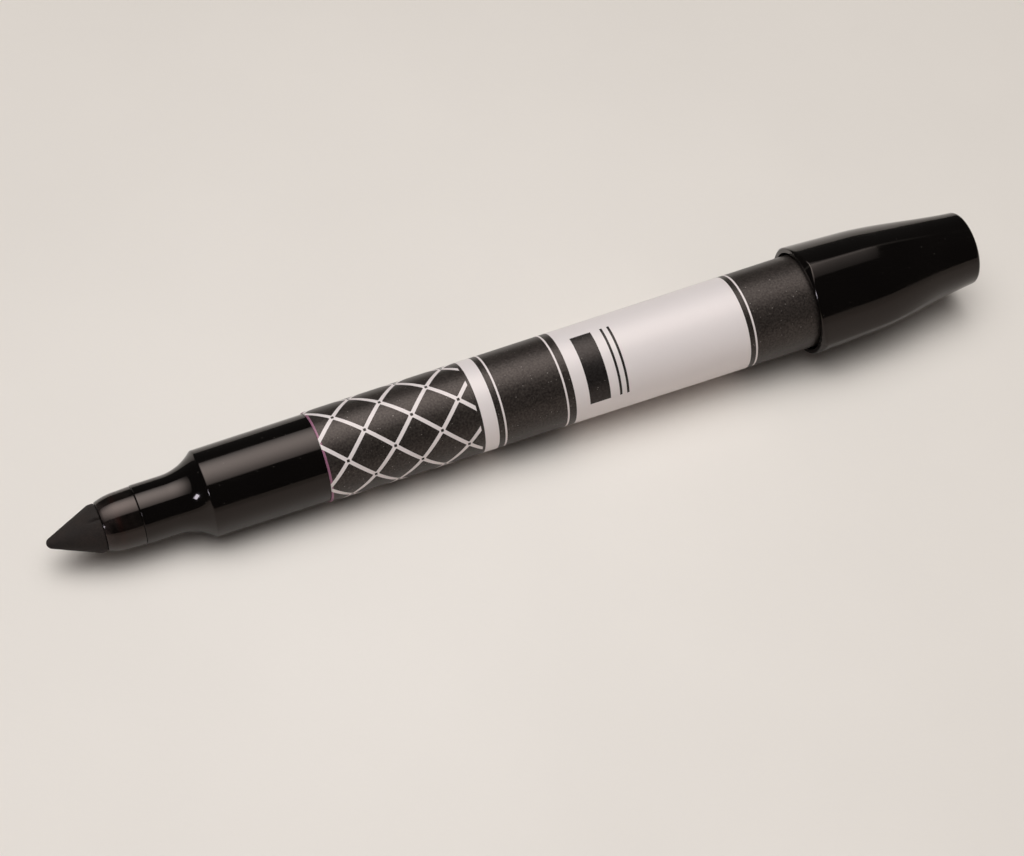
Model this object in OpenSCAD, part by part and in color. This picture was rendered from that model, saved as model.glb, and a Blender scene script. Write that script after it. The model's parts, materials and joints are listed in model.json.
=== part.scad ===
// Fine point felt marker with its cap posted on the tail.
// The marker lies along X with the nib at -X, and Z is up from the table.
// Positions along the marker are measured from the tip of the nib.

/* [Nib] */
// Radius of the worn tip
nib_tip_r = 1.0; // [0.5:0.05:1.2]
// Length of the felt outside the collar
nib_len = 9.2; // [8.6:0.1:10]
// Widest radius of the felt
nib_r = 4.15; // [3.8:0.05:4.15]
// Radius of the shoulder behind the cone
nib_shoulder_r = 1.0; // [0.5:0.05:1.2]
// Length of the straight band behind the shoulder
nib_band_len = 0.8; // [0.4:0.1:1.2]
// Gap between the felt's heel and the collar
nib_heel_gap = 0.1; // [0.05:0.05:0.2]
// Radius of the stem that feeds the nib
nib_stem_r = 2.6; // [2:0.05:2.8]
// How far the stem pushes into the reservoir
nib_stem_bite = 4; // [2:0.5:6]

/* [Nib collar] */
// Radius of the collar's front face
collar_front_r = 4.22; // [4.18:0.01:4.4]
// Outside radius of the collar behind its curved front
collar_mid_r = 4.9; // [4.7:0.01:4.92]
// Outside radius of the collar at the seam, after its slight taper
collar_r = 5.0; // [5:0.01:5.05]
// Length of the soft curve behind the front face
collar_round_len = 3.8; // [2:0.1:4.5]
// Visible length of the collar
collar_len = 6.35; // [5.8:0.05:7]
// Length of the plug that the neck of the barrel holds
collar_plug_len = 8; // [4:0.5:8]
// Number of air grooves beside the stem
collar_groove_count = 4; // [2:1:6]
// Width of an air groove
collar_groove_w = 0.7; // [0.4:0.1:1]
// Depth of an air groove beside the stem
collar_groove_depth = 0.7; // [0.4:0.1:0.9]

/* [Barrel] */
// Radius of the neck that a cap seals on
neck_r = 5.1; // [5.1:0.05:5.3]
// Length of the straight neck
neck_len = 5.25; // [4.8:0.05:5.5]
// Length of the hollow curve from the neck to the shoulder, with the shoulder's edge
neck_curve_len = 6.3; // [5.5:0.1:6.6]
// Radius of the shoulder's edge
shoulder_edge_r = 0.6; // [0.3:0.05:0.8]
// Radius of the barrel at the shoulder
barrel_front_r = 7.53; // [7.4:0.01:7.8]
// Radius of the barrel at its open tail
barrel_tail_r = 8.16; // [8:0.01:8.2]
// Place of the barrel's open tail
barrel_end = 141.7; // [140:0.1:143]
// Radius of the bore that holds the reservoir
barrel_bore_r = 6.4; // [6.3:0.05:6.6]
// Radius of the bore in the neck
neck_bore_r = 4.0; // [3.8:0.05:4.1]
// Length of the bore in the neck
neck_bore_len = 9.05; // [8.8:0.05:9.3]
// Length of the cone between the two bores
bore_cone_len = 4; // [3:0.1:4.5]

/* [Label] */
// Place of the label's front edge
label_start = 46.8; // [44:0.1:50]
// Place of the label's rear edge, inside the cap
label_end = 139.5; // [138:0.1:141]
// Thickness of the printed film
label_t = 0.22; // [0.1:0.01:0.25]

/* [Ink reservoir] */
// Outside radius of the wrapped reservoir
reservoir_r = 6.15; // [6:0.05:6.25]
// Thickness of the film round the fibre
wrap_t = 0.2; // [0.1:0.05:0.3]

/* [Tail plug] */
// Length of the skirt inside the barrel
plug_skirt_len = 7.5; // [5:0.5:10]
// Thickness of the plug's flange
plug_flange_t = 1.4; // [1:0.1:1.6]
// Radius of the flange
plug_flange_r = 8.05; // [7.9:0.05:8.1]
// Radius of the stub that the cap's liner slides over
plug_stub_r = 5.07; // [5:0.01:5.1]
// Length of the stub
plug_stub_len = 7.2; // [5:0.1:8]
// Wall of the plug
plug_wall = 1.1; // [0.9:0.1:1.3]

/* [Cap] */
// Place of the cap's mouth
cap_start = 136.6; // [136.6:0.1:137]
// Length of the cap
cap_len = 32.7; // [32:0.1:34]
// Radius to the middle of a face at the mouth
cap_face_r = 9.66; // [9.6:0.01:9.75]
// How much flatter than a circle the four faces are
cap_face_shift = 4; // [3:0.1:4.5]
// Radius of the four rounded ridges at the mouth
cap_crest_r = 10.4; // [10.3:0.01:10.45]
// Length of the nearly straight grip
cap_grip_len = 11; // [9:0.5:13]
// Radius to the middle of a face at the end of the grip
cap_grip_r = 9.16; // [9.1:0.01:9.25]
// Radius of the closed end
cap_end_r = 6.55; // [6.4:0.01:6.7]
// Radius of the closed end's edge
cap_end_edge_r = 0.6; // [0.3:0.05:0.8]
// Height of the chamfer that scallops the mouth
cap_mouth_chamfer = 0.85; // [0.6:0.05:0.9]
// Turn of the lowest ridge from straight down, in degrees
cap_turn = 7; // [0:1:8]
// Radius of the bore at the mouth
cap_bore_r = 8.65; // [8.6:0.01:8.7]
// How much the bore narrows to the liner's rim
cap_bore_draft = 0.2; // [0.1:0.05:0.25]
// Length of the bevel that leads the barrel into the mouth
cap_lead_in = 0.4; // [0.2:0.1:0.6]
// Wall of the cap beyond the bore
cap_wall = 1.15; // [1:0.05:1.3]
// Thickness of the closed end
cap_end_t = 1.5; // [1.2:0.1:2]

/* [Cap liner] */
// Bore of the liner, which seals on the neck or the stub
liner_bore_r = 5.15; // [5.12:0.01:5.2]
// Outside radius of the liner's sleeve
liner_r = 5.85; // [5.7:0.05:5.9]
// Radius of the liner's inner end
liner_end_bore_r = 4.4; // [4.2:0.05:4.5]
// Length of the sealing land
liner_land_len = 9.5; // [8:0.5:11]
// Thickness of the liner's end
liner_end_t = 1; // [0.8:0.1:1.5]

/* [Fit] */
// Radial gap between pieces that are pressed together
fit_gap = 0.02; // [0.01:0.01:0.05]
// Gap where the cap stops against the tail
stop_gap = 0.05; // [0.02:0.01:0.1]
// Chamfer that draws the seam between the collar and the barrel
seam_chamfer = 0.12; // [0.05:0.01:0.15]
// Chamfer that leads a plug into its bore
lead_chamfer = 0.5; // [0.2:0.1:0.6]

/* [Hidden] */

$fn = 96;
curve_steps = 10;
total_len = cap_start + cap_len;
axis_z = cap_crest_r * cos(cap_turn);
// How far a cutting form passes through its piece
cut = 1;

// Cone that touches the round tip and the round shoulder of the nib
nib_rise = nib_r - nib_shoulder_r;
nib_run = nib_len - nib_band_len - nib_tip_r;
nib_half_angle = atan2(nib_rise, nib_run) - asin((nib_tip_r - nib_shoulder_r) / norm([nib_rise, nib_run]));

collar_start = nib_len + nib_heel_gap;
neck_start = collar_start + collar_len;
fillet_start = neck_start + neck_len;
shoulder_end = fillet_start + neck_curve_len;
barrel_slope = (barrel_tail_r - barrel_front_r) / (barrel_end - shoulder_end);
// Angle at which the hollow curve runs into the shoulder's edge without a break
neck_curve_angle = 2 * atan2(barrel_front_r - neck_r, neck_curve_len);
neck_fillet_r = neck_curve_len / sin(neck_curve_angle) - shoulder_edge_r;

bore_cone_start = neck_start + neck_bore_len;
bore_start = bore_cone_start + bore_cone_len;
reservoir_start = bore_cone_start
    + bore_cone_len * (reservoir_r - neck_bore_r) / (barrel_bore_r - neck_bore_r) + fit_gap;
reservoir_end = barrel_end - plug_skirt_len;
core_r = reservoir_r - wrap_t;
stem_end = reservoir_start + nib_stem_bite;

stub_start = barrel_end + plug_flange_t;
liner_rim = stub_start + stop_gap - cap_start;
cap_inner_end = cap_len - cap_end_t;
taper_len = cap_len - cap_grip_len;
// Slopes of a face along the grip and at the closed end
grip_slope = (cap_grip_r - cap_face_r) / cap_grip_len;
end_slope = -0.09;
// Where the ridges start to sink into the round end, and where they are gone
crest_fade_start = 13;
crest_fade_end = 26;
// Points round a section of the cap, a whole number on each face
ring_n = 64;
// Steps in which the mouth's chamfer, the grip and the end's rounded edge are drawn
chamfer_steps = 3;
grip_steps = 3;
edge_steps = 4;

// Radius of the barrel's outside at a place behind the shoulder
function barrel_r(place) = barrel_front_r + barrel_slope * (place - shoulder_end);

// Points [radius, place] on an arc about a centre, from one angle to another
function arc(center_r, center_place, radius, from, to, steps = curve_steps) =
    [for (i = [0 : steps]) let (a = from + (to - from) * i / steps)
        [center_r + radius * cos(a), center_place + radius * sin(a)]];

// Cubic from one height and slope to another over a span of 1
function ease(t, h0, s0, h1, s1) =
    (2 * t ^ 3 - 3 * t ^ 2 + 1) * h0 + (t ^ 3 - 2 * t ^ 2 + t) * s0
    + (3 * t ^ 2 - 2 * t ^ 3) * h1 + (t ^ 3 - t ^ 2) * s1;

// Radius to the middle of a cap face, at a depth from the mouth
function face_r(depth) = depth <= cap_grip_len
    ? cap_face_r + grip_slope * depth
    : ease((depth - cap_grip_len) / taper_len,
           cap_grip_r, grip_slope * taper_len, cap_end_r, end_slope * taper_len);

// How far a face's centre of curvature lies behind the axis, at a depth from the mouth
function face_shift(depth) =
    ease(min(1, max(0, (depth - crest_fade_start) / (crest_fade_end - crest_fade_start))),
         cap_face_shift, 0, 0, 0);

// Radius that the mouth's chamfer, the ridges and the end's rounded edge stay within
function cap_limit_r(depth) =
    let (edge = max(0, depth - cap_len + cap_end_edge_r))
    depth < cap_grip_len
        ? cap_crest_r - max(0, cap_mouth_chamfer - depth)
        : face_r(depth) + face_shift(depth) - cap_end_edge_r + sqrt(cap_end_edge_r ^ 2 - edge ^ 2);

// Radius of the cap's outside at an angle from a ridge and a depth from the mouth.
// The four faces repeat every quarter turn.
function section_r(angle, depth) =
    let (off_face = angle % 90 - 45, shift = face_shift(depth), face_arc_r = face_r(depth) + shift)
    min(cap_limit_r(depth), sqrt(face_arc_r ^ 2 - (shift * sin(off_face)) ^ 2) - shift * cos(off_face));

// Depths at which the cap's taper is drawn
taper_depths = [for (i = [0 : curve_steps]) cap_grip_len + taper_len * i / curve_steps];
// Depths of the sections that shape the cap, closer at its mouth and its end
cap_depths = concat(
    [for (i = [0 : chamfer_steps]) cap_mouth_chamfer * i / chamfer_steps],
    [for (i = [1 : grip_steps - 1]) cap_grip_len * i / grip_steps],
    [for (d = taper_depths) if (d < cap_len - cap_end_edge_r) d],
    [for (i = [0 : edge_steps]) cap_len - cap_end_edge_r * (1 - sin(90 * i / edge_steps))]);
// Depths of the cap's cavity between the bore and its inner end
cavity_depths = [for (d = taper_depths) if (d < cap_inner_end) d];

// Turns a revolved form from its drawing axis onto the marker's axis, starting at a place
module on_axis(place = 0) {
    translate([place - total_len / 2, 0, axis_z]) rotate([0, 90, 0]) children();
}

// Solid of revolution from points [radius, place]
module revolve(points) {
    rotate_extrude() polygon(points);
}

// Felt nib: a worn cone with a soft shoulder, a straight band and a feed stem
module nib() {
    tip_arc = arc(0, nib_tip_r, nib_tip_r, -90, -nib_half_angle);
    shoulder_place = nib_len - nib_band_len;
    shoulder_arc = arc(nib_r - nib_shoulder_r, shoulder_place, nib_shoulder_r, -nib_half_angle, 0);
    stem = [[nib_r, nib_len], [nib_stem_r, nib_len], [nib_stem_r, stem_end], [0, stem_end]];
    color("#2d2626") on_axis() revolve(concat(tip_arc, shoulder_arc, stem));
}

// Collar: holds the nib's stem in the neck and lets air back in beside it
module nib_collar() {
    round_h = collar_mid_r - collar_front_r;
    front_curve = [for (i = [0 : curve_steps]) let (share = i / curve_steps)
        [collar_front_r + round_h * share * (2 - share), collar_start + collar_round_len * share]];
    plug_r = neck_bore_r - fit_gap;
    plug_end = neck_start + collar_plug_len;
    cut_len = plug_end - collar_start + 2 * cut;
    color("#3a2f31") difference() {
        on_axis() revolve(concat([[0, collar_start]], front_curve,
            [[collar_r, neck_start - seam_chamfer], [collar_r - seam_chamfer, neck_start],
             [plug_r, neck_start], [plug_r, plug_end - lead_chamfer],
             [plug_r - lead_chamfer, plug_end], [0, plug_end]]));
        on_axis(collar_start - cut) cylinder(r = nib_stem_r + fit_gap, h = cut_len);
        for (i = [0 : collar_groove_count - 1])
            on_axis(collar_start - cut) rotate(360 * i / collar_groove_count)
                translate([0, -collar_groove_w / 2, 0])
                    cube([nib_stem_r + collar_groove_depth, collar_groove_w, cut_len]);
    }
}

// Barrel: neck, hollow curve, shoulder and a slightly tapered tube open at the tail
module barrel() {
    fillet = arc(neck_r + neck_fillet_r, fillet_start, neck_fillet_r, 180, 180 - neck_curve_angle);
    edge = arc(barrel_front_r - shoulder_edge_r, shoulder_end, shoulder_edge_r, -neck_curve_angle, 0);
    outside = concat([[neck_r - seam_chamfer, neck_start], [neck_r, neck_start + seam_chamfer]],
        fillet, [for (i = [1 : curve_steps]) edge[i]], [[barrel_tail_r, barrel_end]]);
    inside = [[barrel_bore_r, barrel_end], [barrel_bore_r, bore_start],
        [neck_bore_r, bore_cone_start], [neck_bore_r, neck_start]];
    color("#141414") on_axis() revolve(concat(outside, inside));
}

// Label: a printed film sleeve on the barrel
module label() {
    color("#4a4a4c") on_axis()
        revolve([[barrel_r(label_start), label_start], [barrel_r(label_start) + label_t, label_start],
            [barrel_r(label_end) + label_t, label_end], [barrel_r(label_end), label_end]]);
}

// Ink reservoir: a fibre rod with a socket for the nib's stem
module ink_reservoir() {
    color("#201c20") on_axis(reservoir_start) difference() {
        cylinder(r = core_r, h = reservoir_end - reservoir_start);
        translate([0, 0, -cut]) cylinder(r = nib_stem_r + fit_gap, h = nib_stem_bite + fit_gap + cut);
    }
}

// Film wrapped round the fibre rod
module reservoir_wrap() {
    color("#d8d8dc") on_axis(reservoir_start) difference() {
        cylinder(r = reservoir_r, h = reservoir_end - reservoir_start);
        translate([0, 0, -cut]) cylinder(r = core_r, h = reservoir_end - reservoir_start + 2 * cut);
    }
}

// Tail plug: closes the barrel, with a stub for the posted cap
module tail_plug() {
    skirt_r = barrel_bore_r - fit_gap;
    stub_bore_r = plug_stub_r - plug_wall;
    stub_end = stub_start + plug_stub_len;
    outside = [[skirt_r, reservoir_end], [skirt_r, barrel_end], [plug_flange_r, barrel_end],
        [plug_flange_r, stub_start - lead_chamfer], [plug_flange_r - lead_chamfer, stub_start],
        [plug_stub_r, stub_start], [plug_stub_r, stub_end - lead_chamfer],
        [plug_stub_r - lead_chamfer, stub_end], [0, stub_end]];
    inside = [[0, stub_end - plug_wall], [stub_bore_r, stub_end - plug_wall], [stub_bore_r, barrel_end],
        [skirt_r - plug_wall, barrel_end - plug_wall], [skirt_r - plug_wall, reservoir_end]];
    color("#141414") on_axis() revolve(concat(outside, inside));
}

// Outside of the cap: a loft from a four-sided mouth to a round end
module cap_form() {
    rows = len(cap_depths);
    points = [for (d = cap_depths) for (i = [0 : ring_n - 1])
        let (a = 360 * i / ring_n, r = section_r(a, d))
        [r * cos(a), r * sin(a), d]];
    sides = [for (j = [0 : rows - 2]) for (i = [0 : ring_n - 1])
        let (n = (i + 1) % ring_n, low = j * ring_n, high = low + ring_n)
        each [[low + i, high + i, high + n], [low + i, high + n, low + n]]];
    mouth = [for (i = [0 : ring_n - 1]) i];
    end = [for (i = [1 : ring_n]) rows * ring_n - i];
    polyhedron(points, concat([mouth, end], sides));
}

// Hollow of the cap: a tapered bore for the barrel, then a cavity that follows the outside
module cap_hollow() {
    mouth_r = cap_bore_r + cap_lead_in / 2;
    revolve(concat(
        [[0, -cut], [mouth_r, -cut], [mouth_r, 0], [cap_bore_r, cap_lead_in],
         [cap_bore_r - cap_bore_draft, liner_rim], [cap_grip_r - cap_wall, liner_rim + cap_wall]],
        [for (d = cavity_depths) [face_r(d) - cap_wall, d]],
        [[face_r(cap_inner_end) - cap_wall, cap_inner_end], [0, cap_inner_end]]));
}

// Cap: moulded shell, closed at the end
module cap_shell() {
    color("#111111") on_axis(cap_start) difference() {
        rotate(cap_turn) cap_form();
        cap_hollow();
    }
}

// Cap liner: the soft inner cup that seals on the neck, or on the stub when the cap is posted
module cap_liner() {
    sleeve = [for (d = concat(cavity_depths, [cap_inner_end]))
        [min(liner_r, face_r(d) - cap_wall - fit_gap), d]];
    color("#d9d6cf") on_axis(cap_start)
        revolve(concat([[liner_bore_r, liner_rim], [liner_r, liner_rim]], sleeve,
            [[0, cap_inner_end], [0, cap_inner_end - liner_end_t],
             [liner_end_bore_r, cap_inner_end - liner_end_t], [liner_bore_r, liner_rim + liner_land_len]]));
}

nib();
nib_collar();
barrel();
label();
ink_reservoir();
reservoir_wrap();
tail_plug();
cap_shell();
cap_liner();
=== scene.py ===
# %% [markdown]
# # A felt marker with its cap posted on the tail
# The marker is a turned object: a felt cone, a clear collar, a black barrel with a printed film
# sleeve, and a moulded cap whose four soft faces melt into a round end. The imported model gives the
# main sizes and places, so this lesson only makes finer skins for the pieces that show, and the
# finish of each surface.

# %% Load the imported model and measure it
import json
import math

import bmesh
import bpy
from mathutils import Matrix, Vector, noise

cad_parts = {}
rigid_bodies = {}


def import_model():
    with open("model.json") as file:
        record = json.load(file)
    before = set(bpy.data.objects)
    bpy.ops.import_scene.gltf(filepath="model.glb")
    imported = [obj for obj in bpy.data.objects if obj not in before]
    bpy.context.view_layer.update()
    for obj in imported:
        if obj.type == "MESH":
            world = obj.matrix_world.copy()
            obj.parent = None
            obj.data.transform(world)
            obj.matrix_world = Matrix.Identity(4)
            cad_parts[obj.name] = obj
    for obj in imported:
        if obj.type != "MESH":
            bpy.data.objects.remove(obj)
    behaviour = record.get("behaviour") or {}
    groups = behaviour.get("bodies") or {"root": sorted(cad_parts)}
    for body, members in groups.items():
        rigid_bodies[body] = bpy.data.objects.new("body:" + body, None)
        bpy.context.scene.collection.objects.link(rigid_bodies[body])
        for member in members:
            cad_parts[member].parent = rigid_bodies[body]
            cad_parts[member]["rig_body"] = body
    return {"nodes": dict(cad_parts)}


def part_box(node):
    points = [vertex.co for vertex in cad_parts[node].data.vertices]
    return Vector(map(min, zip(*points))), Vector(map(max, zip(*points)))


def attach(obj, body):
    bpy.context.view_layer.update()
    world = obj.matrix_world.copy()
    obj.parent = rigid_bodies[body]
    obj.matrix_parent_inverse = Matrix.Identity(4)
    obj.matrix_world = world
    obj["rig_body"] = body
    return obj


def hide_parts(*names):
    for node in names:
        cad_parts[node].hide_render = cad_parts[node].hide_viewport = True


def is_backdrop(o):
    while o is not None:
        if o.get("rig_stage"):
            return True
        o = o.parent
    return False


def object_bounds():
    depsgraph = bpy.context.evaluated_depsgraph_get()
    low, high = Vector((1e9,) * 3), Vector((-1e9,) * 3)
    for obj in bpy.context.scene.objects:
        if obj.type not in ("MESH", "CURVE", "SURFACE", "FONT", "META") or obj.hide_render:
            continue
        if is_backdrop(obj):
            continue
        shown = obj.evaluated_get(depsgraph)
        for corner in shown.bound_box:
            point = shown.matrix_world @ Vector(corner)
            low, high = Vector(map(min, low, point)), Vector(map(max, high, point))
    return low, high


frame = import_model()
cad_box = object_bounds()

# Sizes are in millimetres, and a place is counted along the marker from the tip of the nib. Only
# TIP_X and AXIS_Z are in metres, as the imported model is.
MM = 0.001
TIP_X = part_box("nib")[0].x
AXIS_Z = (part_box("barrel")[0].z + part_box("barrel")[1].z) / 2


def span_of(node):
    """Front and rear place of a CAD node along the marker."""
    low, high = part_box(node)
    return (low.x - TIP_X) / MM, (high.x - TIP_X) / MM


def radius_of(node):
    """Largest radius of a round CAD node."""
    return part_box(node)[1].y / MM


for node_name in frame["nodes"]:
    print(node_name, [round(place, 2) for place in span_of(node_name)], round(radius_of(node_name), 2))

# %% [markdown]
# ## Camera
# The photograph looks down on the marker from its nib end. Its lens and place could be matched by
# eye. They were worked out from the curved edges of the printed bands, so the camera stands where
# the photographer stood and no fitting is left to do.

# %% Place the camera
LENS_MM = 100.1
SENSOR_MM = 36.0
CAMERA_MM = (-121.2, -283.7, 385.1)
TARGET_MM = (-2.2, 0.0, 1.0)

camera_data = bpy.data.cameras.new("studio_camera")
camera_data.lens = LENS_MM
camera_data.sensor_width = SENSOR_MM
camera_data.sensor_fit = "HORIZONTAL"
camera = bpy.data.objects.new("studio_camera", camera_data)
camera.location = Vector(CAMERA_MM) * MM
sight = (Vector(TARGET_MM) - Vector(CAMERA_MM)) * MM
camera.rotation_euler = sight.to_track_quat("-Z", "Y").to_euler()
bpy.context.scene.collection.objects.link(camera)
bpy.context.scene.camera = camera
bpy.context.scene.view_settings.view_transform = "Standard"
print("camera is", round(sight.length / MM), "mm from the marker")

# %% [markdown]
# ## Materials from nodes
# Every finish here is drawn by nodes from the point's own place on the object, so nothing slides
# when a piece moves and no picture file is needed. One small function adds a node, sets it and
# links it. Colours are written as sRGB hex values, as a paint program shows them, and turned to the
# linear values that light needs.

# %% Helpers for colours, nodes and patterns


def linear(hex_colour):
    """Linear RGBA from an sRGB hex value such as #2e2b2a."""
    channels = [int(hex_colour[i:i + 2], 16) / 255 for i in (1, 3, 5)]
    return [c / 12.92 if c <= 0.04045 else ((c + 0.055) / 1.055) ** 2.4 for c in channels] + [1.0]


def add(tree, kind, feeds=None, **settings):
    """Adds one node and returns its first output. Settings are the node's own properties, and
    feeds give its inputs, by name or number, a value or another node's output."""
    made = tree.nodes.new(kind)
    for name, value in settings.items():
        setattr(made, name, value)
    inputs = [socket for socket in made.inputs if socket.enabled]
    for key, source in (feeds or {}).items():
        by_number = isinstance(key, int)
        fed = inputs[key] if by_number else next(socket for socket in inputs if socket.name == key)
        if isinstance(source, bpy.types.NodeSocket):
            tree.links.new(source, fed)
        else:
            fed.default_value = source
    return next((socket for socket in made.outputs if socket.enabled), None)


def new_material(name):
    """An empty material, its node tree, and the point's place on the object, in metres."""
    material = bpy.data.materials.new(name)
    material.use_nodes = True
    tree = material.node_tree
    tree.nodes.clear()
    spot = add(tree, "ShaderNodeTexCoord").node.outputs["Object"]
    return material, tree, spot


def per_metre(size_mm):
    """Texture scale at which one feature is that many millimetres across."""
    return 1 / (size_mm * MM)


print("the grey #808080 is", round(linear("#808080")[0], 3), "in linear light")

# %% [markdown]
# ## Paper floor
# The marker lies on a sheet of warm white paper. It touches the paper at two points only: the
# lowest ridge of the cap, and the barrel's shoulder. A level plane would leave a gap under one of
# them, so the sheet is tilted to meet both, which keeps the shadow true. The front edge of the
# sheet curls up a little towards the photographer, and shows as the grey lower half of every
# reflection on the marker.

# %% Model the paper
SHOULDER_PLACE = 27.2
SHOULDER_RADIUS = 7.53
CAP_CONTACT_DEPTH = 1.0
PAPER_HALF_WIDTH = 1500
PAPER_BACK = 1500
CURL_START = 330
CURL_END = 560
CURL_RISE = 85
PAPER_STEPS = 40

shoulder_z = AXIS_Z / MM - SHOULDER_RADIUS
cap_contact = span_of("cap_shell")[0] + CAP_CONTACT_DEPTH
paper_slope = (cad_box[0].z / MM - shoulder_z) / (cap_contact - SHOULDER_PLACE)


def paper_point(x, y):
    """A point of the sheet, in metres, from its place across and along the table."""
    place = x - TIP_X / MM
    curl = max(0.0, -y - CURL_START) / (CURL_END - CURL_START)
    height = shoulder_z + paper_slope * (place - SHOULDER_PLACE) + CURL_RISE * curl ** 2
    return Vector((x, y, height)) * MM


def make_paper():
    """The sheet as a grid, with its front edge curled up."""
    sheet = bmesh.new()
    rows = []
    width = 2 * PAPER_HALF_WIDTH
    across = [-PAPER_HALF_WIDTH + width * i / PAPER_STEPS for i in range(PAPER_STEPS + 1)]
    for j in range(PAPER_STEPS + 1):
        y = -CURL_END + (PAPER_BACK + CURL_END) * j / PAPER_STEPS
        rows.append([sheet.verts.new(paper_point(x, y)) for x in across])
    for near, far in zip(rows, rows[1:]):
        for i in range(PAPER_STEPS):
            sheet.faces.new((near[i], near[i + 1], far[i + 1], far[i]))
    mesh = bpy.data.meshes.new("paper_floor")
    sheet.to_mesh(mesh)
    sheet.free()
    mesh.shade_smooth()
    made = bpy.data.objects.new("paper_floor", mesh)
    bpy.context.scene.collection.objects.link(made)
    made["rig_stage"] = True
    return made


paper = make_paper()
print("paper tilts", round(math.degrees(math.atan(paper_slope)), 2), "degrees along the marker")

# %% [markdown]
# ## Paper finish
# The sheet is uncoated paper, pressed smooth between rollers. A photographed texture would repeat
# over so wide a sheet, so noise draws the clouds in the pulp and the tooth of the fibres, and a
# round gradient paints a pool of light on it: paler beside the marker, darker further out.

# %% Finish the paper
# Uncoated paper, calendered: a dead matt warm white with faint clouds in the pulp. Its real tooth
# is about 0.1 mm, too fine for this view, so it is drawn coarse enough to show.
PULP_CLOUD_MM = 55
TOOTH_MM = 0.9
TOOTH_DEPTH_MM = 0.2
# Painted light: within this reach of this centre the paper's colour is paler, as a pool of light.
PAINTED_LIGHT_REACH_MM = 340
PAINTED_LIGHT_CENTRE_MM = (-46, -30, 0)


def calendered_paper():
    material, tree, spot = new_material("uncoated_paper_calendered")
    reach = per_metre(PAINTED_LIGHT_REACH_MM)
    centred = add(tree, "ShaderNodeMapping",
                  {"Vector": spot, "Scale": (reach, reach, reach),
                   "Location": [-c / PAINTED_LIGHT_REACH_MM for c in PAINTED_LIGHT_CENTRE_MM]})
    # Painted light: the gradient mixes a darker paper colour further out with a paler one beside the
    # marker.
    glow = add(tree, "ShaderNodeTexGradient", {"Vector": centred}, gradient_type="SPHERICAL")
    tone_with_painted_light = add(tree, "ShaderNodeMix",
               {"Factor": glow, "A": linear("#cdc7c0"), "B": linear("#ebe6e1")}, data_type="RGBA")
    clouds = add(tree, "ShaderNodeTexNoise",
                 {"Vector": spot, "Scale": per_metre(PULP_CLOUD_MM), "Detail": 4.0})
    shade = add(tree, "ShaderNodeMapRange", {"Value": clouds, "To Min": 0.96, "To Max": 1.04})
    colour = add(tree, "ShaderNodeMix", {"Factor": 1.0, "A": tone_with_painted_light, "B": shade},
                 data_type="RGBA", blend_type="MULTIPLY")
    tooth = add(tree, "ShaderNodeTexNoise",
                {"Vector": spot, "Scale": per_metre(TOOTH_MM), "Detail": 3.0})
    bump = add(tree, "ShaderNodeBump",
               {"Height": tooth, "Strength": 0.12, "Distance": TOOTH_DEPTH_MM * MM})
    shader = add(tree, "ShaderNodeBsdfPrincipled",
                 {"Base Color": colour, "Normal": bump, "Roughness": 0.9, "Specular IOR Level": 0.15})
    add(tree, "ShaderNodeOutputMaterial", {"Surface": shader})
    return material


paper.data.materials.append(calendered_paper())
print("paper finish:", paper.data.materials[0].name)

# %% [markdown]
# ## Studio light
# Black gloss plastic shows the room more than itself, so gloss and matt surfaces are lit apart.
# Three lamps do it:
#
# - The softbox shows in the gloss only. It hangs just behind the marker: its edges are the two ends
#   and the two sides of the bright band along the barrel. One bulb behind its cloth makes it
#   hottest in the middle, which is why the band is dimmer on the cap.
# - The overhead lamp lights the matt surfaces only. It is wider than the paper and its light
#   spreads little, so the paper is lit evenly and the shadow is soft but close. Lamps do not shade
#   each other, so it can hang below the softbox.
# - A small lamp far to the left makes the pin-sharp glints on the neck.

# %% Hang the softbox
LAMP_WHITE = "#fffefc"
FACE_MIDDLE = (0.5, 0.5, 0.0)
SOFTBOX_HEIGHT = 600
SOFTBOX_X = (-580, 440)
SOFTBOX_Y = (-215, 600)
SOFTBOX_RADIANCE = 5.8
SOFTBOX_GLOW = 345


def add_lamp(name, place_mm, aim_mm, size_mm, radiance, colour):
    """A rectangular lamp whose face has that radiance, where 1 is the white of a lit page."""
    lamp = bpy.data.lights.new(name, "AREA")
    lamp.shape = "RECTANGLE"
    lamp.size, lamp.size_y = (side * MM for side in size_mm)
    lamp.energy = radiance * math.pi * lamp.size * lamp.size_y
    lamp.color = linear(colour)[:3]
    made = bpy.data.objects.new(name, lamp)
    made.location = Vector(place_mm) * MM
    made.rotation_euler = (Vector(aim_mm) - Vector(place_mm)).to_track_quat("-Z", "Y").to_euler()
    made.visible_camera = False
    bpy.context.scene.collection.objects.link(made)
    return made


def heat_middle(lamp, size_mm, glow_mm):
    """Fades a lamp's face away from its middle, to about a third at a distance of glow_mm."""
    lamp.use_nodes = True
    tree = lamp.node_tree
    tree.nodes.clear()
    face = add(tree, "ShaderNodeNewGeometry").node.outputs["Parametric"]
    offset = add(tree, "ShaderNodeVectorMath", {0: face, 1: FACE_MIDDLE}, operation="SUBTRACT")
    stretch = (size_mm[0] / glow_mm, size_mm[1] / glow_mm, 0.0)
    reach = add(tree, "ShaderNodeVectorMath", {0: offset, 1: stretch}, operation="MULTIPLY")
    square = add(tree, "ShaderNodeVectorMath", {0: reach, 1: reach}, operation="DOT_PRODUCT")
    fade = add(tree, "ShaderNodeMath", {0: square, 1: -1.0}, operation="MULTIPLY")
    glow = add(tree, "ShaderNodeMath", {0: fade}, operation="EXPONENT")
    add(tree, "ShaderNodeOutputLight", {"Surface": add(tree, "ShaderNodeEmission", {"Strength": glow})})


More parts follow.
